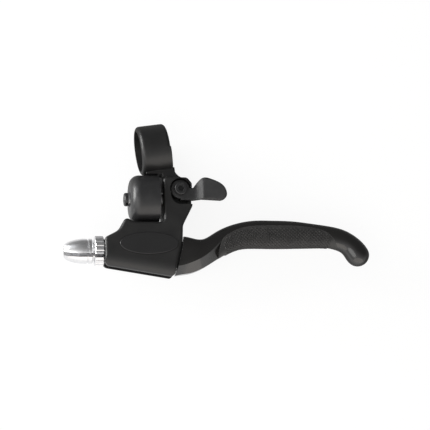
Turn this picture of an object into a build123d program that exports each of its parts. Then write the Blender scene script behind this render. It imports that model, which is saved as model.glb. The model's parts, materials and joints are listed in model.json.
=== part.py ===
from build123d import *
import os
from math import cos, sin, radians, pi, hypot

# Brake lever for the left end of a flat handlebar, with a bell in its bracket.
# Millimetres and degrees. Drawn with X along the bell and the cable towards the blade's tip,
# Y towards the handlebar and Z up out of the face that carries the badge.
# The last step turns everything about Z, which lays X along the handlebar.

# Handlebar clamp
bar_diameter = 22.2
clamp_wall = 2.5
clamp_width = 16.0
clamp_shift = 0.6
clamp_edge = 2.0
bar_cant = 8.0
clamp_slit = 1.6
slit_z = -3.2

# Clamp bolt on the under side
clamp_thread = 5.0
clamp_bolt_x = 8.0
clamp_bolt_gap = 4.0
clamp_head_diameter = 8.5
clamp_head_height = 5.0
clamp_bolt_reach = 1.0
clamp_washer_diameter = 9.0
clamp_washer_thickness = 1.0
clamp_head_edge = 0.5
clamp_socket = 4.0
clamp_socket_depth = 2.6
clamp_hole_play = 0.3
ear_inset = 5.0
ear_length = 9.4
ear_proud = 0.5
ear_width = 8.8
ear_corner = 2.0
ear_taper = 1.6
ear_step = 0.4

# Bell
bell_diameter = 26.4
bell_depth = 15.9
bell_wall = 1.0
bell_corner = 5.2
bell_gap = 0.25
saddle_gap = 0.55
bell_mouth_x = 1.8
bell_z = -0.8
mouth_gap = 1.8

# Bell post and screw
post_diameter = 5.0
post_flange_diameter = 8.4
post_root = 4.4
post_step = 0.3
post_flange = 1.4
post_hole = 8.5
bell_thread = 3.0
bell_head_diameter = 7.4
bell_head_height = 2.3
bell_head_edge = 1.1
cross_length = 3.4
cross_width = 0.9
cross_depth = 1.3
bell_washer_diameter = 8.4
bell_washer_thickness = 0.6
bell_screw_length = 7.0

# Block behind the bell and the housing below it
body_depth = 17.0
body_edge = 1.5
block_width = 15.9
block_slope = 0.4
block_bevel_run = 2.6
block_bevel_fall = 3.6
block_side = 16.2
block_corner = 2.4
housing_left = -28.5
boss_above = 6.3
boss_below = 8.4
boss_length = 7.0
boss_wall = 1.0
boss_corner = 2.3
boss_low_corner = 3.0
ramp_run = 7.4
ramp_rise = 3.8
ramp_corner = 7.0
lip_run = 11.4
lip_height = 2.6
cradle_run = 16.3
cradle_corner = 4.0
waist_x = 13.9
waist_drop = 2.0
waist_corner = 6.0
mouth_top_x = 13.6
mouth_rise = 6.5
mouth_low_x = 8.6
mouth_fall = 15.0
mouth_corner = 2.3
roll_run = 6.5
roll_fall = 4.2

# Neck between the clamp and the block
neck_drop = 3.0
neck_low = 7.0
neck_high = 4.6
neck_under = 6.0
neck_step = 0.4
fill_left = -5.0
fill_top = 9.0
flare_start = 1.0
flare_side = 1.2
flare_bend = 3.1
flare_bend_rise = 2.8
flare_foot = 8.8

# Blade pivot
pivot_x = 9.5
pivot_above_saddle = 2.3
pivot_diameter = 5.0
pivot_thread = 4.0
pivot_head_diameter = 9.0
pivot_head_height = 2.7
pivot_bush_wall = 1.0
pivot_wall = 1.3
pivot_head_edge = 0.8
pivot_socket = 3.0
pivot_socket_depth = 1.8
eye_radius = 5.0
slot_width = 8.0
slot_above = 5.8
slot_step = 6.8
mouth_slack = 1.0
eye_cheek = 0.4
tongue_depth = 6.8
tongue_air = 0.7
tongue_root = 5.0
tongue_inset = 1.2
washer_play = 0.05
cable_arm = 17.0
anchor_lead = 3.4
anchor_diameter = 7.2
anchor_wall = 2.6
wire_slot = 2.2
wire_room = 1.2

# Reach screw
reach_thread = 4.0
reach_length = 10.0
reach_drop = 5.4
reach_socket = 2.0
reach_socket_depth = 2.5

# Blade
blade_gap = 0.9
root_inset = 0.4
bevel_width = 5.0
bevel_angle = 46.0
root_depth = 15.2
finger_depth = 11.2
tip_diameter = 13.0
blade_rise = 13.2
finger_width = 15.2
blade_reach = 101.2

# Grip pad
pad_thickness = 1.1
pad_start = 34.3
pad_end = 99.0
pad_strip = 3.4

# Cable adjuster
adjuster_thread = 10.0
adjuster_diameter = 13.4
adjuster_length = 15.1
adjuster_nose = 10.5
adjuster_mouth = 7.6
adjuster_collar = 3.2
groove_width = 1.0
groove_depth = 0.4
groove_slope = 0.3
turned_edge = 0.5
adjuster_engaged = 5.0
housing_socket = 6.1
socket_depth = 8.0
wire_hole = 2.4
adjuster_slot = 2.0
slot_turn = 27.0
ring_play = 0.15
lock_ring_diameter = 16.2
lock_ring_width = 5.0
lock_ring_flutes = 20
flute_diameter = 1.7
flute_depth = 0.32
ring_gap = 0.9

# Thumb lever
hub_x = 13.2
hub_below_top = 6.8
hub_diameter = 10.2
hub_thickness = 2.9
pocket_diameter = 11.7
pocket_floor = 2.0
pocket_drop = 3.2
pocket_low_diameter = 10.8
hub_floor = 3.7
arm_width = 7.0
arm_above = 0.7
arm_air = 0.4
swing_room = 2.2
arm_step = 0.3
paddle_height = 12.2
paddle_ramp = 3.9
thumb_edge = 0.8
paddle_reach = 25.6
paddle_low = 6.9
paddle_thickness = 3.1
thumb_thread = 4.0
thumb_bush_wall = 1.0
thumb_head_diameter = 6.8
thumb_head_height = 2.8
thumb_head_edge = 0.5
thumb_socket = 3.0
thumb_socket_depth = 2.0
thumb_screw_depth = 3.6
stop_gap = 0.1
spring_wire = 0.6
spring_turns = 1.3
spring_diameter = 8.6
spring_leg = 1.2

# Striker
strip_thickness = 0.6
strip_width = 1.6
strip_lift = 0.2
strip_seat = 1.6
strip_start = 1.2
strip_bend = 2.6
strip_turn = 2.2
window_low = 4.2
window_high = 1.4
striker_diameter = 3.8
striker_height = 3.2
striker_x = -0.8
striker_drop = 6.3

# Badge
badge_length = 31.6
badge_height = 11.8
badge_x = -4.7
badge_sink = 0.7
badge_thickness = 1.1
badge_edge = 0.35
badge_lift = 2.9

# Length of a cut that runs right out of the part
far = 100.0
overrun = 1.0

# Clearances between pieces
thread_play = 0.03
running_play = 0.05
seat_play = 0.04
hole_spare = 0.3
washer_hole_play = 0.2

# Positions that follow from the sizes
ring_radius = bar_diameter / 2 + clamp_wall
bell_radius = bell_diameter / 2
ring_low = (ring_radius - clamp_edge) * cos(radians(bar_cant)) + clamp_edge
ring_low += (clamp_width / 2 - clamp_edge) * sin(radians(bar_cant))
bell_y = -(ring_low + bell_gap + bell_radius)
block_left = bell_mouth_x + mouth_gap
block_right = block_left + block_width
block_top = -(ring_radius + neck_drop)
saddle_y = bell_y - bell_radius - saddle_gap
half_depth = body_depth / 2
ear_back = half_depth + ear_proud
ear_low = -(ring_radius + ear_length)
pivot_y = saddle_y + pivot_above_saddle
cable_y = pivot_y - cable_arm
anchor_x = pivot_x - anchor_lead
hub_y = block_top - hub_below_top
hub_top = hub_floor + hub_thickness
bolt_y = -(ring_radius + clamp_bolt_gap)
mouth_top = (mouth_top_x, cable_y + mouth_rise)
mouth_low = (mouth_low_x, cable_y - mouth_fall)


def rounded(*corners):
    # Closed outline from corners given as x, y and corner radius.
    shape = make_face(Polyline(*[(x, y) for x, y, r in corners], close=True))
    for x, y, r in corners:
        if r > 0:
            corner = shape.vertices().sort_by_distance((x, y, 0))[0]
            shape = fillet(corner, r)
    return shape


def slab(face, low, high):
    return Pos(0, 0, low) * extrude(face, high - low)


def upright(x, y, radius, low, high):
    # Cylinder along Z between two heights.
    return Pos(x, y, (low + high) / 2) * Cylinder(radius, high - low)


def lying(x_low, x_high, y, z, radius):
    # Cylinder along X between two stations.
    return Pos((x_low + x_high) / 2, y, z) * Rot(0, 90, 0) * Cylinder(radius, x_high - x_low)


def block(x_low, x_high, y_low, y_high, z_low, z_high):
    size = Box(x_high - x_low, y_high - y_low, z_high - z_low)
    return Pos((x_low + x_high) / 2, (y_low + y_high) / 2, (z_low + z_high) / 2) * size


def hex_prism(across, height):
    return extrude(RegularPolygon(across / 2, 6, major_radius=False), height)


# Bracket: clamp ring, neck, block and slotted housing
ring = Rot(0, 90, 0) * Cylinder(ring_radius, clamp_width)
ring = fillet(ring.edges().filter_by(GeomType.CIRCLE), clamp_edge)
ring = Pos(-clamp_shift, 0, 0) * Rot(0, 0, bar_cant) * ring

body_outline = rounded(
    (block_left, block_top, block_corner),
    (block_right - block_bevel_run, block_top - block_slope, block_corner),
    (block_right, block_top - block_bevel_fall, block_corner),
    (block_right, block_top - block_side, cradle_corner),
    (waist_x, saddle_y - waist_drop, waist_corner),
    (mouth_top[0], mouth_top[1], mouth_corner),
    (mouth_low[0], mouth_low[1], mouth_corner),
    (housing_left, cable_y - boss_below, boss_low_corner),
    (housing_left, cable_y + boss_above, boss_corner),
    (housing_left + ramp_run, cable_y + boss_above + ramp_rise, ramp_corner),
    (housing_left + lip_run, saddle_y + lip_height, boss_corner),
    (housing_left + cradle_run, saddle_y, cradle_corner),
    (block_left, saddle_y, block_corner),
)
body = slab(body_outline, -half_depth, half_depth)
rim = body.faces().sort_by(Axis.Z)
body = fillet(rim[-1].edges() + rim[0].edges(), body_edge)

# Housing face rolled over towards its lower edge, on both sides
low_start = (housing_left, cable_y - boss_below)
low_length = hypot(mouth_low[0] - low_start[0], mouth_low[1] - low_start[1])
low_way = ((mouth_low[0] - low_start[0]) / low_length, (mouth_low[1] - low_start[1]) / low_length)
roll_plane = Plane(
    origin=(*low_start, 0), x_dir=(-low_way[1], low_way[0], 0), z_dir=(low_way[0], low_way[1], 0)
)
roll_corner = Rectangle(roll_run + overrun, roll_fall + overrun, align=(Align.MAX, Align.MIN))
roll_corner -= Ellipse(roll_run, roll_fall)
roll_corner = Pos(roll_run, half_depth - roll_fall) * roll_corner
roll = extrude(roll_plane * roll_corner, far, both=True)
body -= roll
body -= mirror(roll, Plane.XY)

# Neck: the ring's own curve, flared towards the block, and a web below it
flare_x = clamp_width / 2
neck_left = block_left + neck_step
neck_foot = flare_x + flare_foot
flare_outline = make_face(
    Spline(
        (neck_foot, block_top - neck_step),
        (flare_x + flare_bend, block_top + flare_bend_rise),
        (flare_x + flare_side, block_top + ring_radius * 0.55),
        (flare_x - neck_step, -flare_start),
    )
    + Polyline(
        (flare_x - neck_step, -flare_start),
        (neck_left, -flare_start),
        (neck_left, block_top - neck_step),
        (neck_foot, block_top - neck_step),
    )
)
ring_stock = Rot(0, 90, 0) * Cylinder(ring_radius, far)
ring_stock = Pos(-clamp_shift, 0, 0) * Rot(0, 0, bar_cant) * ring_stock
flare = slab(flare_outline, -far, far) & ring_stock
web_outline = flare_outline + Pos((neck_left + neck_foot) / 2, block_top - neck_under / 2) * Rectangle(
    neck_foot - neck_left, neck_under
)
web_outline += Pos((fill_left + flare_x) / 2, -(ring_low + fill_top) / 2) * Rectangle(
    flare_x - fill_left, ring_low - fill_top
)
web = slab(web_outline, -neck_low, neck_high)
ear_left = block_left + ear_step
ear_top = -(ring_radius - ear_inset)
ear = slab(
    rounded(
        (ear_left, ear_top, 0),
        (ear_left, ear_low, ear_corner),
        (ear_left + ear_width, ear_low, ear_corner),
        (ear_left + ear_width - ear_taper, ear_top, 0),
    ),
    -ear_back,
    0,
)

bar_bore = Pos(-clamp_shift, 0, 0) * Rot(0, 0, bar_cant) * Rot(0, 90, 0) * Cylinder(bar_diameter / 2, far)
slit_low = slit_z - clamp_slit / 2
slit_high = slit_z + clamp_slit / 2
slit_cut = block(-far, far, ear_low, 0, slit_low, slit_high)
slit_out = block(bell_mouth_x, far, ear_low - clamp_slit, ear_low, -far, slit_high)

# Housing slot for the blade's tongue and the cable, open to the right and the front
slot_half = slot_width / 2
slot_left = housing_left + boss_length
tongue_lean = (anchor_x - anchor_diameter / 2 - anchor_wall - pivot_x + eye_radius) / cable_arm
slot_area = make_face(
    Polyline(
        (slot_left, -far),
        (slot_left, cable_y + slot_above),
        (pivot_x - eye_radius - tongue_air + (cable_arm - slot_step) * tongue_lean, cable_y + slot_step),
        (pivot_x - eye_radius - tongue_air, pivot_y),
        (pivot_x + eye_radius + eye_cheek, pivot_y),
        (far, pivot_y - mouth_slack),
        (far, -far),
        close=True,
    )
)
slot_cut = slab(slot_area, -slot_half, slot_half)
slot_cut += upright(pivot_x, pivot_y, eye_radius + tongue_air, -slot_half, slot_half)

boss_left = housing_left - overrun
boss_right = slot_left + overrun
adjuster_bore = lying(boss_left, boss_right, cable_y, 0, adjuster_thread / 2 + thread_play)
wire_cut = block(boss_left, boss_right, -far, cable_y, -wire_slot / 2, wire_slot / 2)
boss_floor = cable_y - adjuster_thread / 2 - boss_wall
boss_slot = block(boss_left, boss_right, -far, boss_floor, -slot_half, slot_half)
reach_y = pivot_y - reach_drop
reach_tip = pivot_x - eye_radius + (reach_drop + reach_thread / 2) * tongue_lean - running_play
reach_bore = lying(housing_left, reach_tip + reach_drop, reach_y, 0, reach_thread / 2 + thread_play)

# Pocket for the thumb lever, with ways out for its neck and for the striker strip
arm_high = hub_y + arm_above
arm_low = arm_high - arm_width
pocket = upright(hub_x, hub_y, pocket_diameter / 2, pocket_floor, far)
pocket_low_y = hub_y - pocket_drop
pocket += upright(hub_x, pocket_low_y, pocket_low_diameter / 2, pocket_floor, far)
pocket += block(
    hub_x - pocket_low_diameter / 2, hub_x + pocket_low_diameter / 2, pocket_low_y, hub_y, pocket_floor, far
)
pocket += block(hub_x, far, arm_low - swing_room, arm_high + stop_gap, hub_floor - arm_air, far)
strip_low = hub_floor + strip_lift
strip_high = strip_low + strip_width
strip_window = block(
    block_left - overrun,
    hub_x - hub_diameter / 2 + overrun,
    hub_y - window_low,
    hub_y + window_high,
    strip_low - arm_air,
    strip_high + arm_air,
)

badge_y = cable_y + badge_lift
badge_hole = Pos(badge_x, badge_y) * Ellipse(badge_length / 2 + seat_play, badge_height / 2 + seat_play)

bracket = body + web + ear + flare + ring
bracket -= bar_bore
bracket -= slit_cut
bracket -= slit_out
bracket -= slot_cut
bracket -= adjuster_bore
bracket -= wire_cut
bracket -= boss_slot
bracket -= reach_bore
bracket -= pocket
bracket -= strip_window
bracket -= slab(badge_hole, half_depth - badge_sink, far)
bracket -= upright(clamp_bolt_x, bolt_y, clamp_thread / 2 + clamp_hole_play, -far, slit_z)
clamp_hole_top = clamp_bolt_reach + hole_spare
bracket -= upright(clamp_bolt_x, bolt_y, clamp_thread / 2 + thread_play, slit_z, clamp_hole_top)
bracket -= upright(pivot_x, pivot_y, pivot_diameter / 2 + seat_play, -far, slot_half)
bracket -= upright(pivot_x, pivot_y, pivot_thread / 2 + thread_play, 0, half_depth - pivot_wall)
bracket -= upright(
    hub_x, hub_y, thumb_thread / 2 + thread_play, pocket_floor - thumb_screw_depth - hole_spare, far
)
post_root_radius = post_diameter / 2 - post_step
bracket -= lying(
    block_left - overrun, block_left + post_root + hole_spare, bell_y, bell_z, post_root_radius + thread_play
)

# Clamp bolt and washer
washer_low = -ear_back - clamp_washer_thickness
clamp_washer = upright(clamp_bolt_x, bolt_y, clamp_washer_diameter / 2, washer_low, -ear_back)
clamp_washer -= upright(clamp_bolt_x, bolt_y, clamp_thread / 2 + washer_hole_play, -far, far)
clamp_head = Cylinder(clamp_head_diameter / 2, clamp_head_height)
clamp_head = fillet(clamp_head.edges().sort_by(Axis.Z)[0], clamp_head_edge)
clamp_bolt = Pos(clamp_bolt_x, bolt_y, washer_low - clamp_head_height / 2) * clamp_head
clamp_bolt += upright(clamp_bolt_x, bolt_y, clamp_thread / 2, washer_low, clamp_bolt_reach)
clamp_key = hex_prism(clamp_socket, clamp_socket_depth)
clamp_bolt -= Pos(clamp_bolt_x, bolt_y, washer_low - clamp_head_height) * clamp_key

# Badge plate, left plain
badge = slab(
    Pos(badge_x, badge_y) * Ellipse(badge_length / 2, badge_height / 2),
    half_depth - badge_sink,
    half_depth - badge_sink + badge_thickness,
)
badge = fillet(badge.edges().sort_by(Axis.Z)[-1], badge_edge)

# Blade: sections along a curved line, squarer at the root and round at the tip
mouth_run = (mouth_low[0] - mouth_top[0], mouth_low[1] - mouth_top[1])
mouth_length = hypot(*mouth_run)
mouth_along = (mouth_run[0] / mouth_length, mouth_run[1] / mouth_length)
mouth_out = (-mouth_along[1], mouth_along[0])
root_x = (mouth_top[0] + mouth_low[0]) / 2 + blade_gap * mouth_out[0]
root_y = (mouth_top[1] + mouth_low[1]) / 2 + blade_gap * mouth_out[1]
root_width = mouth_length - root_inset
finger_y = root_y + blade_rise
tip_x = root_x + blade_reach
tip_radius = tip_diameter / 2

# Each station: place along the reach, height over the finger line as a share of the rise,
# width, depth, squareness
blade_stations = [
    (-0.11, -0.925, root_width * 0.95, root_depth, 4.2),
    (0.0, -0.905, root_width * 0.945, root_depth, 4.2),
    (0.055, -0.873, root_width * 0.905, root_depth, 4.2),
    (0.112, -0.815, root_width * 0.745, root_depth * 0.98, 4.0),
    (0.17, -0.644, root_width * 0.615, root_depth * 0.92, 3.6),
    (0.246, -0.318, finger_width * 0.885, finger_depth * 1.12, 3.3),
    (0.326, -0.085, finger_width * 0.91, finger_depth * 1.03, 3.0),
    (0.404, 0.0, finger_width * 0.975, finger_depth, 2.9),
    (0.512, 0.0, finger_width, finger_depth, 2.9),
    (0.629, -0.015, finger_width * 0.97, finger_depth, 2.9),
    (0.751, -0.068, finger_width * 0.86, finger_depth, 2.8),
    (0.844, -0.136, finger_width * 0.79, finger_depth * 1.02, 2.5),
    (0.912, -0.28, tip_diameter * 0.92, finger_depth * 1.06, 2.25),
    (0.966, -0.553, tip_diameter * 0.95, tip_diameter * 0.96, 2.05),
    (1.0, -0.886, tip_diameter, tip_diameter, 2.0),
]
blade_places = [(root_x + s[0] * blade_reach, finger_y + s[1] * blade_rise) for s in blade_stations]
blade_line = Spline(*[(x, y, 0) for x, y in blade_places], tangents=((1, 0.02, 0), (0.62, -0.785, 0)))


def blade_section(centre, along, width, depth, square):
    # Closed curve across the blade, square = 2 for an ellipse and more for a boxier one.
    across = (-along[1], along[0], 0)
    plane = Plane(origin=(centre[0], centre[1], 0), x_dir=across, z_dir=(along[0], along[1], 0))
    points = []
    for step in range(24):
        turn = 2 * pi * step / 24
        u = abs(cos(turn)) ** (2 / square) * (1 if cos(turn) >= 0 else -1)
        v = abs(sin(turn)) ** (2 / square) * (1 if sin(turn) >= 0 else -1)
        points.append((width / 2 * u, depth / 2 * v))
    return plane * make_face(Spline(*points, periodic=True))


def blade_loft(shrink):
    sections = []
    for place, station in zip(blade_places, blade_stations):
        way = blade_line.tangent_at(blade_line.param_at_point((place[0], place[1], 0)))
        sections.append(
            blade_section(place, (way.X, way.Y), station[2] - shrink, station[3] - shrink, station[4])
        )
    # Round end: ever smaller circles, then a point
    last = blade_places[-1]
    ball = tip_radius - shrink / 2
    for lift in (30, 55, 75):
        ahead = ball * sin(radians(lift))
        size = 2 * ball * cos(radians(lift))
        centre = (last[0] + ahead * way.X, last[1] + ahead * way.Y)
        sections.append(blade_section(centre, (way.X, way.Y), size, size, 2.0))
    sections.append(Vertex(last[0] + ball * way.X, last[1] + ball * way.Y, 0))
    return loft(sections)


blade_skin = blade_loft(0)
blade_core = blade_loft(2 * pad_thickness)

# Area of the grip pad, seen square on to the face
pad_top = finger_y + finger_width / 2 - pad_strip
pad_length = pad_end - pad_start
pad_low = finger_y - 2 * finger_width
pad_area = make_face(
    Spline(
        (pad_start - 0.02 * pad_length, pad_low),
        (pad_start - 0.012 * pad_length, finger_y - 0.8 * finger_width),
        (pad_start, finger_y - 0.43 * finger_width),
        (pad_start + 0.022 * pad_length, finger_y - 0.215 * finger_width),
        (pad_start + 0.076 * pad_length, finger_y - 0.026 * finger_width),
        (pad_start + 0.158 * pad_length, finger_y + 0.145 * finger_width),
        (pad_start + 0.326 * pad_length, pad_top - 0.008 * finger_width),
        (pad_start + 0.45 * pad_length, pad_top),
        (pad_end - 0.22 * pad_length, pad_top - 0.065 * finger_width),
        (pad_end - 0.055 * pad_length, finger_y - 0.026 * finger_width),
        (pad_end + 0.03 * pad_length, finger_y - 0.59 * finger_width),
        (pad_end + 0.08 * pad_length, pad_low),
    )
    + Line((pad_end + 0.08 * pad_length, pad_low), (pad_start - 0.02 * pad_length, pad_low))
)
pad_recess = slab(pad_area, -far, far) - blade_core
grip_pad = blade_skin & pad_recess
blade = blade_skin - pad_recess

# Long bevel on both front edges of the root, dying out where the pad starts
# Each entry: number of the station, shares of the bevel's width and angle, lift of the crease
bevel_stations = [
    (0, 1, 1, 0),
    (2, 1.02, 1, 0),
    (3, 1.04, 0.98, 0),
    (4, 1.12, 0.9, 0),
    (5, 1.54, 0.4, 0),
    (6, 1.8, 0.2, 0.5),
]
bevel_sections = []
for number, wide, steep, lift in bevel_stations:
    place = blade_places[number]
    station = blade_stations[number]
    way = blade_line.tangent_at(blade_line.param_at_point((place[0], place[1], 0)))
    plane = Plane(origin=(place[0], place[1], 0), x_dir=(-way.Y, way.X, 0), z_dir=(way.X, way.Y, 0))
    lean = radians(bevel_angle * steep)
    crease_x = bevel_width * wide - station[2] / 2
    crease_y = station[3] / 2 + bevel_width * lift
    ahead = (finger_width * cos(lean), finger_width * sin(lean))
    corners = [
        (crease_x + ahead[0] / 4, crease_y + ahead[1] / 4),
        (crease_x - ahead[0], crease_y - ahead[1]),
        (crease_x - ahead[0] - ahead[1], crease_y - ahead[1] + ahead[0]),
        (crease_x + ahead[0] / 4 - ahead[1], crease_y + ahead[1] / 4 + ahead[0]),
    ]
    bevel_sections.append(plane * make_face(Polyline(*corners, close=True)))
bevel = loft(bevel_sections) - slab(pad_area, -far, far)
blade -= bevel
blade -= mirror(bevel, Plane.XY)

# Square shoulder beside the mouth of the housing
shoulder_top = (root_x - far * mouth_along[0], root_y - far * mouth_along[1])
shoulder_low = (root_x + far * mouth_along[0], root_y + far * mouth_along[1])
behind_shoulder = make_face(
    Polyline(
        shoulder_top,
        shoulder_low,
        (shoulder_low[0] - far * mouth_out[0], shoulder_low[1] - far * mouth_out[1]),
        (shoulder_top[0] - far * mouth_out[0], shoulder_top[1] - far * mouth_out[1]),
        close=True,
    )
)
blade -= slab(behind_shoulder, -far, far)

# Tongue of the blade, inside the housing
tongue_half = tongue_depth / 2
anchor_radius = anchor_diameter / 2 + anchor_wall
tongue_area = make_face(
    Polyline(
        (pivot_x - eye_radius, pivot_y),
        (anchor_x - anchor_radius, cable_y),
        (anchor_x - 0.24 * anchor_radius, cable_y - 0.92 * anchor_radius),
        (root_x, root_y - root_width * 0.32),
        (root_x + tongue_root, root_y - root_width * 0.2),
        (root_x + tongue_root, root_y + root_width * 0.25),
        (root_x + 0.4 * tongue_root, root_y + root_width * 0.4),
        (waist_x - tongue_inset, pivot_y - 1.5 * eye_radius),
        (pivot_x + eye_radius, pivot_y),
        close=True,
    )
)
tongue = slab(tongue_area, -tongue_half, tongue_half)
tongue += upright(pivot_x, pivot_y, eye_radius, -tongue_half, tongue_half)
tongue += upright(anchor_x, cable_y, anchor_radius, -tongue_half, tongue_half)
blade += tongue
bush_radius = pivot_diameter / 2 + running_play + pivot_bush_wall
blade -= upright(pivot_x, pivot_y, bush_radius + seat_play, -far, far)
blade -= upright(anchor_x, cable_y, anchor_diameter / 2, -far, far)
wire_way = make_face(
    Polyline(
        (anchor_x, cable_y + wire_room),
        (anchor_x - far, cable_y + wire_room),
        (anchor_x - far, cable_y - far),
        (anchor_x - 0.32 * far, cable_y - far),
        (anchor_x, cable_y - wire_room),
        close=True,
    )
)
blade -= slab(wire_way, -wire_slot / 2, wire_slot / 2)

# Pivot bolt, bush and washers
pivot_head = Cylinder(pivot_head_diameter / 2, pivot_head_height)
pivot_head = fillet(pivot_head.edges().sort_by(Axis.Z)[0], pivot_head_edge)
pivot_bolt = Pos(pivot_x, pivot_y, -half_depth - pivot_head_height / 2) * pivot_head
pivot_bolt += upright(pivot_x, pivot_y, pivot_diameter / 2, -half_depth, slot_half - hole_spare)
pivot_bolt += upright(pivot_x, pivot_y, pivot_thread / 2, 0, half_depth - pivot_wall - hole_spare)
pivot_key = hex_prism(pivot_socket, pivot_socket_depth)
pivot_bolt -= Pos(pivot_x, pivot_y, -half_depth - pivot_head_height) * pivot_key
pivot_bush = upright(pivot_x, pivot_y, bush_radius, -tongue_half, tongue_half)
pivot_bush -= upright(pivot_x, pivot_y, pivot_diameter / 2 + running_play, -far, far)
washer_bottom = tongue_half + washer_play
upper_washer = upright(pivot_x, pivot_y, eye_radius, washer_bottom, slot_half - washer_play / 2)
upper_washer -= upright(pivot_x, pivot_y, pivot_diameter / 2 + seat_play, -far, far)
lower_washer = upright(pivot_x, pivot_y, eye_radius, washer_play / 2 - slot_half, -washer_bottom)
lower_washer -= upright(pivot_x, pivot_y, pivot_diameter / 2 + seat_play, -far, far)

# Reach screw, a grub screw with a hex socket
reach_screw = lying(reach_tip - reach_length, reach_tip, reach_y, 0, reach_thread / 2)
reach_key = hex_prism(reach_socket, reach_socket_depth)
reach_screw -= Pos(reach_tip - reach_length, reach_y, 0) * Rot(0, 90, 0) * reach_key

# Cable adjuster, turned to shape and slotted for the cable
barrel_right = housing_left - ring_play - lock_ring_width - ring_gap
barrel_left = barrel_right - adjuster_length
nose_start = barrel_left + adjuster_nose
thread_right = housing_left + adjuster_engaged
barrel_radius = adjuster_diameter / 2
groove_left = barrel_right - adjuster_collar
groove_right = groove_left + groove_width
barrel_outline = make_face(
    Polyline(
        (nose_start, barrel_radius),
        (groove_left, barrel_radius),
        (groove_left + groove_slope, barrel_radius - groove_depth),
        (groove_right - groove_slope, barrel_radius - groove_depth),
        (groove_right, barrel_radius),
        (barrel_right - turned_edge, barrel_radius),
        (barrel_right, barrel_radius - turned_edge),
        (barrel_right, adjuster_thread / 2),
        (thread_right, adjuster_thread / 2),
        (thread_right, 0),
        (barrel_left, 0),
        (barrel_left, adjuster_mouth / 2),
    )
    + Spline(
        (barrel_left, adjuster_mouth / 2),
        (barrel_left + adjuster_nose * 0.35, barrel_radius * 0.84),
        (nose_start, barrel_radius),
        tangents=((0.7, 0.7), (1, 0)),
    )
)
adjuster = revolve(barrel_outline, Axis.X)
adjuster -= lying(barrel_left - overrun, barrel_left + socket_depth, 0, 0, housing_socket / 2)
adjuster -= lying(-far, far, 0, 0, wire_hole / 2)
adjuster -= block(-far, far, -adjuster_slot / 2, adjuster_slot / 2, 0, far)
adjuster = Pos(0, cable_y, 0) * Rot(slot_turn, 0, 0) * adjuster

ring_right = housing_left - ring_play
lock_ring = lying(ring_right - lock_ring_width, ring_right, 0, 0, lock_ring_diameter / 2)
lock_ring = chamfer(lock_ring.edges().filter_by(GeomType.CIRCLE), turned_edge)
flute_radius = lock_ring_diameter / 2 + flute_diameter / 2 - flute_depth
for count in range(lock_ring_flutes):
    turn = 360 / lock_ring_flutes * count
    flute = Pos(0, flute_radius, 0) * Rot(0, 90, 0) * Cylinder(flute_diameter / 2, far)
    lock_ring -= Rot(turn, 0, 0) * flute
lock_ring -= lying(-far, far, 0, 0, adjuster_thread / 2 + running_play)
lock_ring -= block(-far, far, -adjuster_slot / 2, adjuster_slot / 2, 0, far)
lock_ring = Pos(0, cable_y, 0) * Rot(slot_turn, 0, 0) * lock_ring

# Bell dome, post, washer and screw
dome_left = bell_mouth_x - bell_depth
dome = Cylinder(bell_radius, bell_depth)
dome = fillet(dome.edges().sort_by(Axis.Z)[0], bell_corner)
dome_inside = Cylinder(bell_radius - bell_wall, bell_depth)
dome_inside = fillet(dome_inside.edges().sort_by(Axis.Z)[0], bell_corner - bell_wall)
dome -= Pos(0, 0, bell_wall) * dome_inside
dome -= Cylinder(bell_thread / 2 + washer_hole_play, far)
dome = Pos(bell_mouth_x - bell_depth / 2, bell_y, bell_z) * Rot(0, 90, 0) * dome
post_left = dome_left + bell_wall
post = lying(post_left, block_left, bell_y, bell_z, post_diameter / 2)
post += lying(block_left - post_flange, block_left, bell_y, bell_z, post_flange_diameter / 2)
post += lying(block_left, block_left + post_root, bell_y, bell_z, post_root_radius)
post -= lying(post_left - overrun, post_left + post_hole, bell_y, bell_z, bell_thread / 2 + thread_play)
bell_washer = lying(dome_left - bell_washer_thickness, dome_left, bell_y, bell_z, bell_washer_diameter / 2)
bell_washer -= lying(-far, far, bell_y, bell_z, bell_thread / 2 + washer_hole_play)
head_right = dome_left - bell_washer_thickness
bell_head = Cylinder(bell_head_diameter / 2, bell_head_height)
bell_head = fillet(bell_head.edges().sort_by(Axis.Z)[0], bell_head_edge)
bell_screw = Pos(head_right - bell_head_height / 2, bell_y, bell_z) * Rot(0, 90, 0) * bell_head
bell_screw += lying(head_right, head_right + bell_screw_length, bell_y, bell_z, bell_thread / 2)
cross = Box(2 * cross_depth, cross_length, cross_width) + Box(2 * cross_depth, cross_width, cross_length)
bell_screw -= Pos(head_right - bell_head_height, bell_y, bell_z) * Rot(45, 0, 0) * cross

# Thumb lever: plan outline crossed with a stepped side outline
paddle_right = hub_x + paddle_reach
arm_right = block_right + thumb_edge
paddle_corner = (paddle_right - 0.16 * paddle_reach, arm_low - arm_step)
thumb_plan = make_face(
    Polyline((hub_x, arm_low + arm_step), (arm_right + paddle_ramp, arm_low + arm_step), paddle_corner)
    + Spline(
        paddle_corner,
        (paddle_right - 0.02 * paddle_reach, arm_low + 0.2 * paddle_height),
        (paddle_right - 0.05 * paddle_reach, arm_low + 0.54 * paddle_height),
        (paddle_right - 0.34 * paddle_reach, arm_low + 0.94 * paddle_height),
        (paddle_right - 0.51 * paddle_reach, arm_low + paddle_height),
        (paddle_right - 0.665 * paddle_reach, arm_low + 0.74 * paddle_height),
        (arm_right, arm_high),
    )
    + Polyline((arm_right, arm_high), (hub_x, arm_high), (hub_x, arm_low + arm_step))
)
paddle_top = paddle_low + paddle_thickness
thumb_side = make_face(
    Polyline(
        (hub_x - hub_diameter, hub_floor),
        (arm_right, hub_floor),
        (arm_right + paddle_ramp, paddle_low),
        (paddle_right + overrun, paddle_low),
        (paddle_right + overrun, paddle_top),
        (arm_right + paddle_ramp + overrun, paddle_top),
        (arm_right + overrun, hub_top),
        (hub_x - hub_diameter, hub_top),
        close=True,
    )
)
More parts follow.
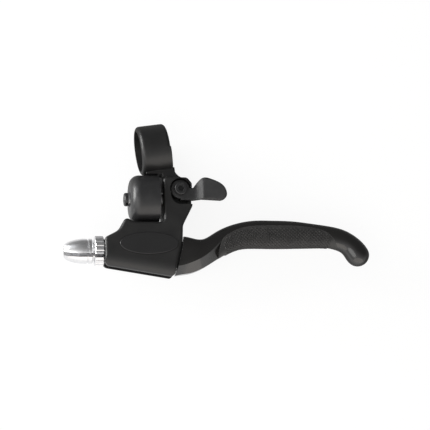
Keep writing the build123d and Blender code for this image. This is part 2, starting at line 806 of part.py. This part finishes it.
thumb_stock = slab(thumb_plan, 0, far) + upright(hub_x, hub_y, hub_diameter / 2, 0, far)
thumb_lever = thumb_stock & (Rot(90, 0, 0) * extrude(thumb_side, far, both=True))
thumb_top = thumb_lever.faces().sort_by(Axis.Z)[-1]
thumb_lever = fillet(thumb_top.edges(), thumb_edge)
sleeve_radius = thumb_thread / 2 + seat_play + thumb_bush_wall
thumb_lever -= upright(hub_x, hub_y, sleeve_radius + running_play, -far, far)

# Sleeve and screw that the hub turns on
sleeve_top = hub_top + washer_play
thumb_bush = upright(hub_x, hub_y, sleeve_radius, pocket_floor, sleeve_top)
thumb_bush -= upright(hub_x, hub_y, thumb_thread / 2 + seat_play, -far, far)
thumb_head = Cylinder(thumb_head_diameter / 2, thumb_head_height)
thumb_head = fillet(thumb_head.edges().sort_by(Axis.Z)[-1], thumb_head_edge)
thumb_screw = Pos(hub_x, hub_y, sleeve_top + thumb_head_height / 2) * thumb_head
thumb_screw += upright(hub_x, hub_y, thumb_thread / 2, pocket_floor - thumb_screw_depth, sleeve_top)
socket_floor = sleeve_top + thumb_head_height - thumb_socket_depth
thumb_screw -= Pos(hub_x, hub_y, socket_floor) * hex_prism(thumb_socket, far)

# Torsion spring under the hub
coil_radius = spring_diameter / 2
coil_low = pocket_floor + spring_wire / 2 + washer_play
coil_rise = hub_floor - pocket_floor - spring_wire - 2 * washer_play
coil_high = coil_low + coil_rise
coil = Helix(coil_rise / spring_turns, coil_rise, coil_radius)
coil_start = Plane(origin=coil @ 0, z_dir=coil % 0)
spring = sweep(coil_start * Circle(spring_wire / 2), path=coil)
spring = Pos(hub_x, hub_y, coil_low) * spring
low_leg = (hub_x + coil_radius, hub_y)
high_turn = radians(360 * spring_turns)
high_leg = (hub_x + coil_radius * cos(high_turn), hub_y + coil_radius * sin(high_turn))
leg_radius = spring_wire / 2
low_end = upright(*low_leg, leg_radius, pocket_floor - spring_leg, coil_low)
low_end += Pos(*low_leg, coil_low) * Sphere(leg_radius)
high_end = upright(*high_leg, leg_radius, coil_high, hub_floor + spring_leg)
high_end += Pos(*high_leg, coil_high) * Sphere(leg_radius)
spring += low_end
spring += high_end
leg_hole = leg_radius + seat_play
leg_depth = spring_leg + hole_spare
bracket -= upright(*low_leg, leg_hole, pocket_floor - leg_depth, pocket_floor + overrun)
thumb_lever -= upright(*high_leg, leg_hole, hub_floor - overrun, hub_floor + leg_depth)

# Striker strip and striker inside the dome
striker_y = bell_y - striker_drop
strip_line = Polyline(
    (hub_x - hub_diameter / 2 + strip_seat, hub_y - strip_start),
    (block_left - strip_turn, hub_y - strip_bend),
    (striker_x, striker_y),
)
strip = slab(trace(strip_line, strip_thickness), strip_low, strip_high)
striker = upright(striker_x, striker_y, striker_diameter / 2, strip_high - striker_height, strip_high)
strip -= striker
thumb_lever -= strip

nodes = {
    "bracket": bracket,
    "clamp_bolt": clamp_bolt,
    "clamp_washer": clamp_washer,
    "badge_plate": badge,
    "lever_blade": blade,
    "grip_pad": grip_pad,
    "pivot_bolt": pivot_bolt,
    "pivot_bush": pivot_bush,
    "pivot_washer_upper": upper_washer,
    "pivot_washer_lower": lower_washer,
    "reach_screw": reach_screw,
    "barrel_adjuster": adjuster,
    "lock_ring": lock_ring,
    "bell_dome": dome,
    "bell_post": post,
    "bell_washer": bell_washer,
    "bell_screw": bell_screw,
    "thumb_lever": thumb_lever,
    "thumb_bush": thumb_bush,
    "thumb_screw": thumb_screw,
    "thumb_spring": spring,
    "striker_strip": strip,
    "striker": striker,
}

# Lay X along the handlebar, with the origin in the middle of the clamp
os.makedirs("parts", exist_ok=True)
for name, shape in nodes.items():
    placed = Rot(0, 0, -bar_cant) * Pos(clamp_shift, 0, 0) * shape.solid()
    export_step(placed, f"parts/{name}.step")
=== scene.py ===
import bpy
import json
from math import cos, sin, radians, atan2
from mathutils import Vector, Matrix
from mathutils.bvhtree import BVHTree


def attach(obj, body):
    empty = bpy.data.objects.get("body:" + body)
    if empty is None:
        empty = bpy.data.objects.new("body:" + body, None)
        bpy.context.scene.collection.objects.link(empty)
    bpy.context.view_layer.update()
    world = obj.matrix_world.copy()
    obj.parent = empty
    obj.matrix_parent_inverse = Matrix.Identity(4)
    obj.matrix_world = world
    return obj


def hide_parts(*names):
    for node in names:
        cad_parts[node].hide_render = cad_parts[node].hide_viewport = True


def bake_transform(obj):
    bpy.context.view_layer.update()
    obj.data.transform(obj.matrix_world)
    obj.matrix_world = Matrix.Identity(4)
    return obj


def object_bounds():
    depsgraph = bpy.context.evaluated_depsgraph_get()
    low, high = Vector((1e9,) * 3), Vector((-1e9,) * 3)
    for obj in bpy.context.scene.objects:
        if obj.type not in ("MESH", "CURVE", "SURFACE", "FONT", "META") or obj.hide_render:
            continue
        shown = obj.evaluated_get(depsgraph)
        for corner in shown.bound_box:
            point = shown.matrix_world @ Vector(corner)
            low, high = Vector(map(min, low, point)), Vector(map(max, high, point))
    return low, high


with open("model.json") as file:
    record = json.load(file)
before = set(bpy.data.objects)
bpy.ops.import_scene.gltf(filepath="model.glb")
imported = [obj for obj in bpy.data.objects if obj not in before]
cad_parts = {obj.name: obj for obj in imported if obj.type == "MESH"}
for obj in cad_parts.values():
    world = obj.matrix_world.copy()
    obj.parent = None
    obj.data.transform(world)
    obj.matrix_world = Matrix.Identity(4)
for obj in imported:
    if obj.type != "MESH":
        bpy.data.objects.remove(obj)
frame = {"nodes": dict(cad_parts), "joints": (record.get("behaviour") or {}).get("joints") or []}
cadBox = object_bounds()
nodes = frame["nodes"]
joints = {joint["name"]: joint for joint in frame["joints"]}
mm = 0.001

# The bell and the cable lie along this line, a little off the handlebar's
cableWay = Vector(joints["adjuster_turn"]["axis"]).normalized()
faceWay = Vector((0, 0, 1))
crossWay = faceWay.cross(cableWay)


def inRow(x, y, z):
    return cableWay * x + crossWay * y + faceWay * z


# Camera, at the photograph's angle
cameraSetup = {
    "swing": 11.0,        # degrees to the bell's side
    "drop": 11.0,         # degrees towards the cable side
    "pixel": 0.55 * mm,   # size of one pixel at the part
    "pixels": 430,
    "lens": 100.0,
    "sensor": 36.0,
    "nearest": 10 * mm,
    "aimRight": 34.4 * mm,
    "aimUp": -35.75 * mm,
}


def addCamera(setup):
    swing = radians(setup["swing"])
    drop = radians(setup["drop"])
    right = Vector((cos(swing), 0, sin(swing)))
    back = Vector((-sin(swing) * cos(drop), -sin(drop), cos(swing) * cos(drop)))
    up = back.cross(right)
    roll = atan2(up.x, right.x)  # keeps the cable line level
    level = right * cos(roll) + up * sin(roll)
    upright = up * cos(roll) - right * sin(roll)
    right, up, back = inRow(*level), inRow(*upright), inRow(*back)
    distance = setup["lens"] / setup["sensor"] * setup["pixel"] * setup["pixels"]
    place = right * setup["aimRight"] + up * setup["aimUp"] + back * distance
    data = bpy.data.cameras.new("camera")
    data.lens = setup["lens"]
    data.sensor_width = setup["sensor"]
    data.sensor_height = setup["sensor"]
    data.sensor_fit = "HORIZONTAL"
    data.clip_start = setup["nearest"]
    camera = bpy.data.objects.new("camera", data)
    axes = Matrix((right, up, back)).transposed().to_4x4()
    camera.matrix_world = Matrix.Translation(place) @ axes
    bpy.context.scene.collection.objects.link(camera)
    bpy.context.scene.camera = camera


addCamera(cameraSetup)
print("camera set")


# Short hands for node trees
def addNode(tree, kind, **settings):
    node = tree.nodes.new(kind)
    for key, value in settings.items():
        if hasattr(node, key):
            setattr(node, key, value)
        else:
            node.inputs[key].default_value = value
    return node


def join(tree, source, output, target, socket):
    tree.links.new(source.outputs[output], target.inputs[socket])


def addDot(tree, source, output, way):
    dot = addNode(tree, "ShaderNodeVectorMath", operation="DOT_PRODUCT")
    dot.inputs[1].default_value = way
    join(tree, source, output, dot, 0)
    return dot


def addRange(tree, source, output, given, wanted, kind="LINEAR"):
    span = addNode(tree, "ShaderNodeMapRange", interpolation_type=kind)
    for side, pair in (("From", given), ("To", wanted)):
        span.inputs[side + " Min"].default_value = pair[0]
        span.inputs[side + " Max"].default_value = pair[1]
    join(tree, source, output, span, "Value")
    return span


# Studio: white floor, soft world, four soft lamps
studio = {
    "floorSize": 3.0,
    "floorColour": (0.9, 0.9, 0.9, 1),
    "floorWhite": 0.85,            # how much of the floor is plain white to the camera
    "floorGlow": 1.05,
    "reflectionDark": 0.08,             # painted reflection: how bright the floor glows to glossy rays behind the part
    "reflectionDarkWay": (0.5, 0.87, 0),
    "reflectionTurn": (-0.065, 0.005),  # where the painted reflection goes from bright to dark along that way
    "floorGap": 0.3 * mm,
    "brightSide": (-0.45, -0.8, -0.4),
    "worldTurn": (-0.75, 0.35),    # where the world goes from dark to bright
    "darkLevel": 0.2,
    "brightLevel": 1.0,
    "lamps": {
        "keyLamp": {
            "place": (-0.6, -0.4, 0.7),
            "size": 0.75,
            "power": 2.2,
            "colour": (1, 0.99, 0.97),
        },
        "lowLamp": {
            "place": (0.1, -1.0, 0.2),
            "size": 1.5,
            "power": 4.6,
            "colour": (1, 0.91, 0.82),
        },
        "sideLamp": {
            "place": (-1.0, 0.3, 0.08),
            "size": 0.8,
            "power": 22.0,
            "colour": (1, 1, 0.98),
        },
        "backLamp": {
            "place": (-0.6, 0.5, 0.5),
            "size": 0.3,
            "power": 1.0,
            "colour": (0.94, 0.96, 1),
        },
    },
}


def floorPaint(setup):
    paint = bpy.data.materials.new("floorWhite")
    paint.use_nodes = True
    tree = paint.node_tree
    tree.nodes.clear()
    out = addNode(tree, "ShaderNodeOutputMaterial")
    card = addNode(tree, "ShaderNodeBsdfDiffuse", Color=setup["floorColour"])
    glow = addNode(tree, "ShaderNodeEmission")
    path = addNode(tree, "ShaderNodeLightPath")
    spot = addNode(tree, "ShaderNodeNewGeometry")
    # Painted reflection: the floor's glow fades from bright to dark along one way across the
    # floor
    across = addDot(tree, spot, "Position", inRow(*setup["reflectionDarkWay"]))
    paintedReflection = addRange(
        tree, across, "Value", setup["reflectionTurn"],
        (setup["floorGlow"], setup["reflectionDark"]), "SMOOTHSTEP",
    )

    # Even white to the camera; glossy rays see a painted reflection, bright on one side of the
    # floor and dark behind the part
    level = addNode(tree, "ShaderNodeMix", data_type="FLOAT")
    level.inputs[2].default_value = setup["floorGlow"]
    join(tree, path, "Is Glossy Ray", level, 0)
    join(tree, paintedReflection, "Result", level, 3)
    join(tree, level, 0, glow, "Strength")

    # Camera, glossy and transmission rays see the white, light falls on the card
    seen = addNode(tree, "ShaderNodeMath", operation="MAXIMUM")
    seenAll = addNode(tree, "ShaderNodeMath", operation="MAXIMUM")
    share = addNode(tree, "ShaderNodeMath", operation="MULTIPLY")
    share.inputs[1].default_value = setup["floorWhite"]
    mix = addNode(tree, "ShaderNodeMixShader")
    join(tree, path, "Is Camera Ray", seen, 0)
    join(tree, path, "Is Glossy Ray", seen, 1)
    join(tree, seen, 0, seenAll, 0)
    join(tree, path, "Is Transmission Ray", seenAll, 1)
    join(tree, seenAll, 0, share, 0)
    join(tree, share, 0, mix, 0)
    join(tree, card, 0, mix, 1)
    join(tree, glow, 0, mix, 2)
    join(tree, mix, 0, out, 0)
    return paint


def addFloor(setup):
    low = cadBox[0].z - setup["floorGap"]
    half = setup["floorSize"] / 2
    mesh = bpy.data.meshes.new("floor")
    corners = [(-half, -half, low), (half, -half, low), (half, half, low), (-half, half, low)]
    mesh.from_pydata(corners, [], [(0, 1, 2, 3)])
    floor = bpy.data.objects.new("floor", mesh)
    bpy.context.scene.collection.objects.link(floor)
    mesh.materials.append(floorPaint(setup))


def addWorld(setup):
    world = bpy.data.worlds.new("studioWorld")
    bpy.context.scene.world = world
    world.use_nodes = True
    tree = world.node_tree
    tree.nodes.clear()
    out = addNode(tree, "ShaderNodeOutputWorld")
    white = addNode(tree, "ShaderNodeBackground", Strength=1.0)
    soft = addNode(tree, "ShaderNodeBackground")
    mix = addNode(tree, "ShaderNodeMixShader")
    path = addNode(tree, "ShaderNodeLightPath")
    way = addNode(tree, "ShaderNodeTexCoord")
    side = addDot(tree, way, "Generated", inRow(*Vector(setup["brightSide"]).normalized()))
    ramp = addRange(
        tree, side, "Value", setup["worldTurn"],
        (setup["darkLevel"], setup["brightLevel"]), "SMOOTHSTEP",
    )
    join(tree, ramp, "Result", soft, "Strength")
    join(tree, path, "Is Camera Ray", mix, 0)
    join(tree, soft, 0, mix, 1)
    join(tree, white, 0, mix, 2)
    join(tree, mix, 0, out, 0)


def addLamp(name, place, size, power, colour):
    data = bpy.data.lights.new(name, "AREA")
    data.shape = "DISK"
    data.size = size
    data.energy = power
    data.color = colour
    lamp = bpy.data.objects.new(name, data)
    spot = inRow(*place)
    aim = (cadBox[0] + cadBox[1]) / 2
    lamp.location = spot
    lamp.rotation_euler = (aim - spot).to_track_quat("-Z", "Y").to_euler()
    bpy.context.scene.collection.objects.link(lamp)


addFloor(studio)
addWorld(studio)
for lampName, lampLook in studio["lamps"].items():
    addLamp(lampName, **lampLook)
bpy.context.scene.view_settings.view_transform = "Standard"
print("studio set")


# Every finish starts from a shader with fine unevenness in colour, gloss and height
grainSetup = {
    "patchDetail": 4.0,      # broad patches of colour and gloss
    "peelDetail": 3.0,       # waviness of the paint
    "speckDetail": 1.0,
    "metalDetail": 3.0,
    "markDetail": 2.0,       # turning marks
    "noiseSpan": (0.3, 0.7),  # where most of a noise's values lie
    "edgeSamples": 6,
}


def newFinish(name, colour, metallic=0.0):
    material = bpy.data.materials.new(name)
    material.use_nodes = True
    tree = material.node_tree
    tree.nodes.clear()
    out = addNode(tree, "ShaderNodeOutputMaterial")
    shader = addNode(tree, "ShaderNodeBsdfPrincipled", Metallic=metallic)
    shader.inputs["Base Color"].default_value = (*colour, 1)
    place = addNode(tree, "ShaderNodeTexCoord")
    join(tree, shader, 0, out, 0)
    return material, tree, shader, place


def grain(tree, place, size, detail):
    noise = addNode(tree, "ShaderNodeTexNoise", Scale=1 / size, Detail=detail)
    join(tree, place, "Object", noise, "Vector")
    return noise


def spread(tree, noise, low, high):
    return addRange(tree, noise, "Fac", grainSetup["noiseSpan"], (low, high))


def tint(tree, shader, noise, dark, light):
    mix = addNode(tree, "ShaderNodeMix", data_type="RGBA")
    mix.inputs[6].default_value = (*dark, 1)   # the node's first and second colour
    mix.inputs[7].default_value = (*light, 1)
    join(tree, spread(tree, noise, 0.0, 1.0), 0, mix, 0)
    join(tree, mix, 2, shader, "Base Color")


def emboss(tree, shader, noise, height, before=None):
    bump = addNode(tree, "ShaderNodeBump", Strength=1.0, Distance=height)
    join(tree, noise, "Fac", bump, "Height")
    if before is not None:
        join(tree, before, 0, bump, "Normal")
    join(tree, bump, 0, shader, "Normal")
    return bump


def paintedFinish(name, look):
    material, tree, shader, place = newFinish(name, look["light"])
    patches = grain(tree, place, look["patch"], grainSetup["patchDetail"])
    peel = grain(tree, place, look["peel"], grainSetup["peelDetail"])
    specks = grain(tree, place, look["speck"], grainSetup["speckDetail"])
    tint(tree, shader, patches, look["dark"], look["light"])
    join(tree, spread(tree, patches, *look["roughness"]), 0, shader, "Roughness")
    edges = addNode(
        tree, "ShaderNodeBevel", samples=grainSetup["edgeSamples"], Radius=look["softEdge"],
    )
    wavy = emboss(tree, shader, peel, look["peelHeight"], edges)
    emboss(tree, shader, specks, look["speckHeight"], wavy)
    if "coat" in look:
        shader.inputs["Coat Weight"].default_value = look["coat"]
        shader.inputs["Coat Roughness"].default_value = look["coatRoughness"]
    return material


bracketPaint = {
    "dark": (0.012, 0.012, 0.0122),
    "light": (0.017, 0.0168, 0.0166),
    "roughness": (0.36, 0.44),
    "patch": 9 * mm,
    "peel": 0.7 * mm,
    "peelHeight": 0.004 * mm,
    "speck": 0.12 * mm,
    "speckHeight": 0.002 * mm,
    "softEdge": 0.45 * mm,
}
bladePaint = {
    "dark": (0.007, 0.0066, 0.0062),
    "light": (0.010, 0.0092, 0.0085),
    "roughness": (0.2, 0.28),
    "patch": 12 * mm,
    "peel": 1.1 * mm,
    "peelHeight": 0.003 * mm,
    "speck": 0.15 * mm,
    "speckHeight": 0.0008 * mm,
    "coat": 0.7,
    "coatRoughness": 0.1,
    "softEdge": 0.35 * mm,
}
bellPaint = {
    "dark": (0.020, 0.020, 0.021),
    "light": (0.028, 0.028, 0.029),
    "roughness": (0.32, 0.4),
    "patch": 6 * mm,
    "peel": 0.6 * mm,
    "peelHeight": 0.004 * mm,
    "speck": 0.1 * mm,
    "speckHeight": 0.002 * mm,
    "softEdge": 0.3 * mm,
}
screwBlack = {
    "dark": (0.014, 0.014, 0.015),
    "light": (0.032, 0.032, 0.033),
    "roughness": (0.22, 0.32),
    "patch": 2 * mm,
    "peel": 0.3 * mm,
    "peelHeight": 0.003 * mm,
    "speck": 0.08 * mm,
    "speckHeight": 0.002 * mm,
    "softEdge": 0.2 * mm,
}
thumbPlastic = {
    "dark": (0.028, 0.028, 0.029),
    "light": (0.040, 0.040, 0.041),
    "roughness": (0.5, 0.62),
    "patch": 5 * mm,
    "peel": 0.35 * mm,
    "peelHeight": 0.018 * mm,
    "speck": 0.1 * mm,
    "speckHeight": 0.004 * mm,
    "softEdge": 1.3 * mm,
}
padRubber = {
    "dark": (0.026, 0.0255, 0.025),
    "light": (0.042, 0.041, 0.040),
    "roughness": (0.5, 0.62),
    "patch": 4 * mm,
    "peel": 0.3 * mm,
    "peelHeight": 0.012 * mm,
    "speck": 0.1 * mm,
    "speckHeight": 0.005 * mm,
    "softEdge": 0.08 * mm,
}
badgeBlack = {
    "dark": (0.0168, 0.0168, 0.0172),
    "light": (0.018, 0.018, 0.0185),
    "roughness": (0.29, 0.32),
    "patch": 7 * mm,
    "peel": 0.9 * mm,
    "peelHeight": 0.003 * mm,
    "speck": 0.1 * mm,
    "speckHeight": 0.001 * mm,
    "softEdge": 0.2 * mm,
}
bushPlastic = {
    "dark": (0.62, 0.60, 0.53),
    "light": (0.72, 0.70, 0.63),
    "roughness": (0.38, 0.5),
    "patch": 3 * mm,
    "peel": 0.4 * mm,
    "peelHeight": 0.006 * mm,
    "speck": 0.1 * mm,
    "speckHeight": 0.002 * mm,
    "softEdge": 0.1 * mm,
}


# Bare metal, with fine turning marks along an axis
turnedAluminium = {
    "dark": (0.76, 0.76, 0.775),
    "light": (0.86, 0.86, 0.87),
    "roughness": (0.3, 0.4),
    "mark": 0.16 * mm,
    "markHeight": 0.0025 * mm,
    "patch": 1.2 * mm,
}
platedSteel = {
    "dark": (0.52, 0.52, 0.53),
    "light": (0.66, 0.66, 0.67),
    "roughness": (0.26, 0.4),
    "mark": 0.22 * mm,
    "markHeight": 0.002 * mm,
    "patch": 0.8 * mm,
}


def bareMetal(name, look, axis):
    material, tree, shader, place = newFinish(name, look["light"], 1.0)
    along = addDot(tree, place, "Object", axis)
    rings = addNode(
        tree, "ShaderNodeTexNoise", noise_dimensions="1D",
        Scale=1 / look["mark"], Detail=grainSetup["markDetail"],
    )
    join(tree, along, "Value", rings, "W")
    patches = grain(tree, place, look["patch"], grainSetup["metalDetail"])
    tint(tree, shader, patches, look["dark"], look["light"])
    join(tree, spread(tree, rings, *look["roughness"]), 0, shader, "Roughness")
    emboss(tree, shader, rings, look["markHeight"])
    return material


def dress(material, *names):
    for name in names:
        slots = nodes[name].data.materials
        slots.clear()
        slots.append(material)


dress(paintedFinish("bracketPaint", bracketPaint), "bracket")
dress(paintedFinish("bladePaint", bladePaint), "lever_blade")
dress(paintedFinish("bellPaint", bellPaint), "bell_dome")
dress(paintedFinish("badgeBlack", badgeBlack), "badge_plate")
dress(paintedFinish("thumbPlastic", thumbPlastic), "thumb_lever")
padFinish = paintedFinish("padRubber", padRubber)
dress(padFinish, "grip_pad")
dress(
    paintedFinish("screwBlack", screwBlack),
    "clamp_bolt", "pivot_bolt", "reach_screw", "bell_screw", "thumb_screw",
)
dress(
    paintedFinish("bushPlastic", bushPlastic),
    "pivot_bush", "pivot_washer_upper", "pivot_washer_lower",
)
dress(bareMetal("turnedAluminium", turnedAluminium, cableWay), "barrel_adjuster", "lock_ring")
dress(
    bareMetal("platedSteelAlong", platedSteel, cableWay),
    "bell_post", "bell_washer", "striker_strip",
)
dress(
    bareMetal("platedSteelUpright", platedSteel, faceWay),
    "clamp_washer", "thumb_bush", "thumb_spring", "striker",
)
print("finishes set")


# Raised diamonds on the grip pad, laid in staggered rows round the blade
padStuds = {
    "pitch": 1.8 * mm,
    "half": 0.76 * mm,
    "topShare": 0.4,
    "height": 0.42 * mm,
    "sunk": 0.15 * mm,
    "margin": 1.2 * mm,
    "turn": 126,           # degrees round from the front edge
    "turnStep": 3,
    "ahead": 30 * mm,      # where the rays onto the pad start
    "aside": 200 * mm,     # where the rays for the middle line start
    "lineStep": 0.5 * mm,  # between points of the middle line
    "skipStart": 4,        # points left free at its ends
    "skipEnd": 8,
    "bendReach": 8,        # points each way that give its direction
}


def padSkin():
    pad, blade = nodes["grip_pad"].data, nodes["lever_blade"].data
    first = len(pad.vertices)
    points = [v.co.copy() for v in pad.vertices] + [v.co.copy() for v in blade.vertices]
    faces = [tuple(p.vertices) for p in pad.polygons]
    padFaces = len(faces)
    faces += [tuple(first + i for i in p.vertices) for p in blade.polygons]
    return BVHTree.FromPolygons(points, faces), padFaces


def middleLine(skin, look):
    starts = [v.co.dot(cableWay) for v in nodes["grip_pad"].data.vertices]
    middle = []
    for count in range(int((max(starts) - min(starts)) / look["lineStep"]) + 1):
        base = cableWay * (min(starts) + count * look["lineStep"])
        ends = []
        for side in (1, -1):
            origin = base + crossWay * (side * look["aside"])
            ends.append(skin.ray_cast(origin, crossWay * -side)[0])
        if None not in ends:
            middle.append((ends[0] + ends[1]) / 2)
    return middle


def studRows(middle, look):
    rows = [look["skipStart"]]
    for index in range(look["skipStart"] + 1, len(middle) - look["skipEnd"]):
        step = (middle[index] - middle[rows[-1]]).length
        if step >= look["pitch"] / 2 - look["lineStep"] / 2:
            rows.append(index)
    return rows


# Direction from the middle line to a place measured round the skin from its front edge
def wayAt(arc, ring, length):
    for i in range(len(ring) - 1):
        if length[i] <= arc <= length[i + 1]:
            part = (arc - length[i]) / (length[i + 1] - length[i])
            return ring[i][1].lerp(ring[i + 1][1], part).normalized()
    return None


def addPadStuds(look):
    skin, padFaces = padSkin()
    middle = middleLine(skin, look)
    corners, sides = [], []

    def touch(centre, way):
        spot, normal, face, gap = skin.ray_cast(centre + way * look["ahead"], -way)
        return spot, normal, face is not None and face < padFaces

    for row, index in enumerate(studRows(middle, look)):
        centre = middle[index]
        low = max(0, index - look["bendReach"])
        high = min(len(middle) - 1, index + look["bendReach"])
        along = (middle[high] - middle[low]).normalized()
        front = along.cross(faceWay).normalized()
        ring = []
        for angle in range(-look["turn"], look["turn"] + 1, look["turnStep"]):
            way = front * cos(radians(angle)) + faceWay * sin(radians(angle))
            ring.append((touch(centre, way)[0], way))
        zero = len(ring) // 2
        length = [0.0] * len(ring)
        for i in range(zero + 1, len(ring)):
            length[i] = length[i - 1] + (ring[i][0] - ring[i - 1][0]).length
        for i in range(zero - 1, -1, -1):
            length[i] = length[i + 1] - (ring[i][0] - ring[i + 1][0]).length

        arc = (row % 2) * look["pitch"] / 2
        arc -= look["pitch"] * int((arc - length[0]) / look["pitch"])
        while arc < length[-1]:
            shifts = (0, look["margin"], -look["margin"])
            ways = [wayAt(arc + shift, ring, length) for shift in shifts]
            arc += look["pitch"]
            if None in ways:
                continue
            tests = [touch(centre, way) for way in ways]
            tests += [touch(centre + along * shift, ways[0]) for shift in shifts[1:]]
            if not all(onPad for spot, normal, onPad in tests):
                continue
            spot, normal, onPad = tests[0]
            forward = (along - normal * along.dot(normal)).normalized()
            across = normal.cross(forward)
            start = len(corners)
            for lift, share in ((-look["sunk"], 1.0), (look["height"], look["topShare"])):
                for way in (forward, across, -forward, -across):
                    corners.append(spot + way * (look["half"] * share) + normal * lift)
            sides.append((start + 3, start + 2, start + 1, start))
            sides.append((start + 4, start + 5, start + 6, start + 7))
            for i in range(4):
                j = (i + 1) % 4
                sides.append((start + i, start + j, start + 4 + j, start + 4 + i))
    mesh = bpy.data.meshes.new("pad_studs")
    mesh.from_pydata(corners, [], sides)
    mesh.materials.append(padFinish)
    studs = bpy.data.objects.new("pad_studs", mesh)
    bpy.context.scene.collection.objects.link(studs)
    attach(studs, "blade_body")
    return len(corners) // 8


print("pad studs", addPadStuds(padStuds))


def addSpring():
    spring = bpy.data.objects.new("torsion_spring", nodes["thumb_spring"].data.copy())
    bpy.context.scene.collection.objects.link(spring)
    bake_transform(spring)
    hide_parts("thumb_spring")


addSpring()
print("spring set")
